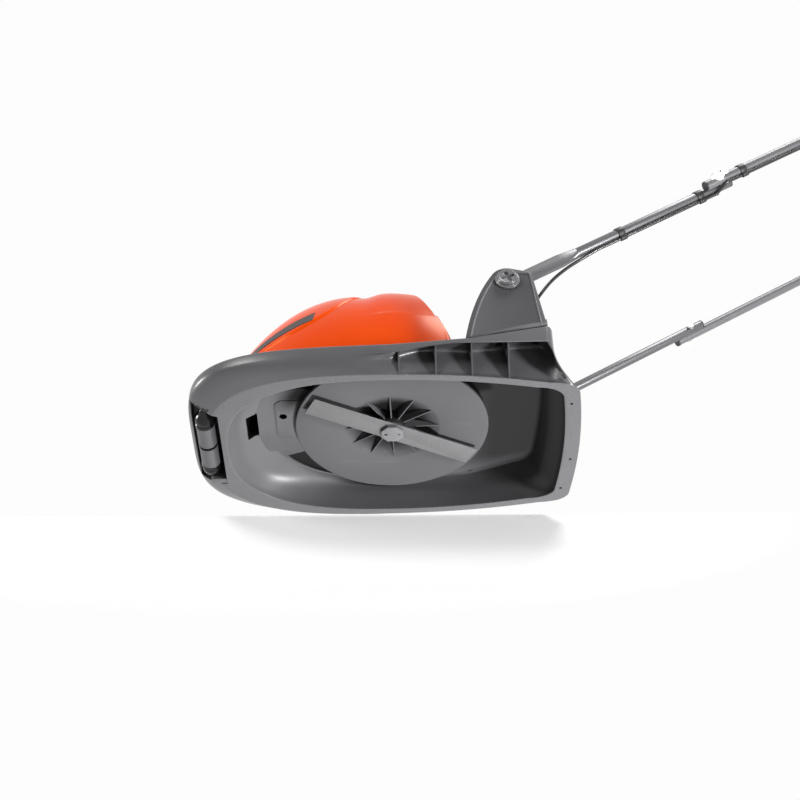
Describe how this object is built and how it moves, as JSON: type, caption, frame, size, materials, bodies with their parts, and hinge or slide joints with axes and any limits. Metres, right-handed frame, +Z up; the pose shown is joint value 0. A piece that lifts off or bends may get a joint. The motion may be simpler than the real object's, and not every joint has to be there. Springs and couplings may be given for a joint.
{
  "type": "hover mower",
  "caption": "Electric hover mower with a moulded grey deck, glossy orange motor hood, vaned fan, bar blade, front roller and a folding tube handle with a switch box.",
  "frame": {"origin": "middle of the object's box, at the ground under the rim", "axes": "+Y from the nose to the handle, +Z up, +X to the mower's left"},
  "size_m": [0.4408, 1.4298, 0.7445],
  "materials": {
    "deck_grey": "moulded, satin",
    "bracket_grey": "moulded, satin",
    "hood_orange": "high gloss",
    "vent_grey": "moulded, matte",
    "fan_grey": "moulded, matte",
    "blade_steel": "ground steel",
    "bolt_grey": "moulded over a steel bolt",
    "tube_silver": "silver lacquer over steel",
    "tube_dark": "dark grey powder coat",
    "knob_grey": "moulded, satin",
    "knob_ivory": "moulded, satin",
    "fastener_steel": "zinc plated",
    "motor_steel": "plated sheet",
    "motor_brass": "copper segments",
    "black_plastic": "moulded, satin",
    "roller_grey": "moulded, satin",
    "cap_black": "gloss",
    "switch_orange": "gloss",
    "lead_black": "flexible sheath"
  },
  "bodies": {
    "chassis": {"deck": "deck_grey", "hood": "hood_orange", "vent_left": "vent_grey", "vent_right": "vent_grey", "bracket_left": "bracket_grey", "bracket_right": "bracket_grey", "bracket_screws": "fastener_steel", "hood_screws": "fastener_steel", "motor_plate": "black_plastic", "plate_screws": "fastener_steel", "motor_can": "motor_steel", "motor_cap": "black_plastic", "stator": "motor_steel", "brush_holders": "black_plastic", "bearing_lower": "fastener_steel", "bearing_upper": "fastener_steel", "roller_axle": "fastener_steel", "roller_cap_left": "cap_black", "roller_cap_right": "cap_black", "pivot_knob_left": "knob_grey", "pivot_knob_right": "knob_grey", "pivot_nuts": "fastener_steel", "lead_gland": "lead_black", "lead_free": "lead_black"},
    "cutter": {"motor_shaft": "fastener_steel", "armature": "motor_steel", "commutator": "motor_brass", "fan": "fan_grey", "blade_spacer": "black_plastic", "blade": "blade_steel", "blade_bolt": "bolt_grey"},
    "left_roller": {"roller_sleeve_left": "roller_grey"},
    "right_roller": {"roller_sleeve_right": "roller_grey"},
    "lower_handle_tubes": {"lower_tube_left": "tube_silver", "lower_tube_right": "tube_silver", "lower_plugs": "black_plastic", "joint_bolts": "fastener_steel", "lead_lower": "lead_black", "lead_bend": "lead_black", "lead_clips_lower": "black_plastic"},
    "upper_handle_loop": {"upper_handle": "tube_dark", "upper_plugs": "black_plastic", "switch_box_upper": "black_plastic", "switch_box_lower": "black_plastic", "box_screws": "fastener_steel", "microswitch": "black_plastic", "mains_inlet": "black_plastic", "lead_upper": "lead_black", "lead_clips_upper": "black_plastic", "button_spring": "fastener_steel"},
    "lever": {"switch_lever": "switch_orange"},
    "button": {"lock_button": "switch_orange"},
    "left_wing": {"wing_knob_left": "knob_ivory"},
    "right_wing": {"wing_knob_right": "knob_ivory"}
  },
  "joints": [
    {"name": "cutter_spin", "type": "hinge", "parent": "chassis", "child": "cutter", "pos_m": [0, -0.38394, 0], "axis": [0, 0, 1], "continuous": true},
    {"name": "left_roller_spin", "type": "hinge", "parent": "chassis", "child": "left_roller", "pos_m": [0, -0.68794, 0.018], "axis": [1, 0, 0], "continuous": true},
    {"name": "right_roller_spin", "type": "hinge", "parent": "chassis", "child": "right_roller", "pos_m": [0, -0.68794, 0.018], "axis": [1, 0, 0], "continuous": true},
    {"name": "handle_tilt", "type": "hinge", "parent": "chassis", "child": "lower_handle_tubes", "pos_m": [0, -0.19194, 0.19], "axis": [1, 0, 0], "range_deg": [0, 60], "deforming": ["lead_free"]},
    {"name": "handle_fold", "type": "hinge", "parent": "lower_handle_tubes", "child": "upper_handle_loop", "pos_m": [0, 0.18178, 0.41456], "axis": [1, 0, 0], "range_deg": [0, 130], "deforming": ["lead_bend"]},
    {"name": "lever_squeeze", "type": "hinge", "parent": "upper_handle_loop", "child": "lever", "pos_m": [0, 0.65151, 0.6968], "axis": [1, 0, 0], "range_deg": [0, 20], "stiffness_Nm_per_rad": 0.6, "springref_deg": -11.46},
    {"name": "button_press", "type": "slide", "parent": "upper_handle_loop", "child": "button", "axis": [0, 0.515, -0.8572], "range_m": [0, 0.004], "stiffness_N_per_m": 400, "springref_m": -0.002, "deforming": ["button_spring"]},
    {"name": "left_wing_turn", "type": "hinge", "parent": "lower_handle_tubes", "child": "left_wing", "pos_m": [0, 0.18178, 0.41456], "axis": [1, 0, 0], "continuous": true},
    {"name": "right_wing_turn", "type": "hinge", "parent": "lower_handle_tubes", "child": "right_wing", "pos_m": [0, 0.18178, 0.41456], "axis": [1, 0, 0], "continuous": true}
  ]
}
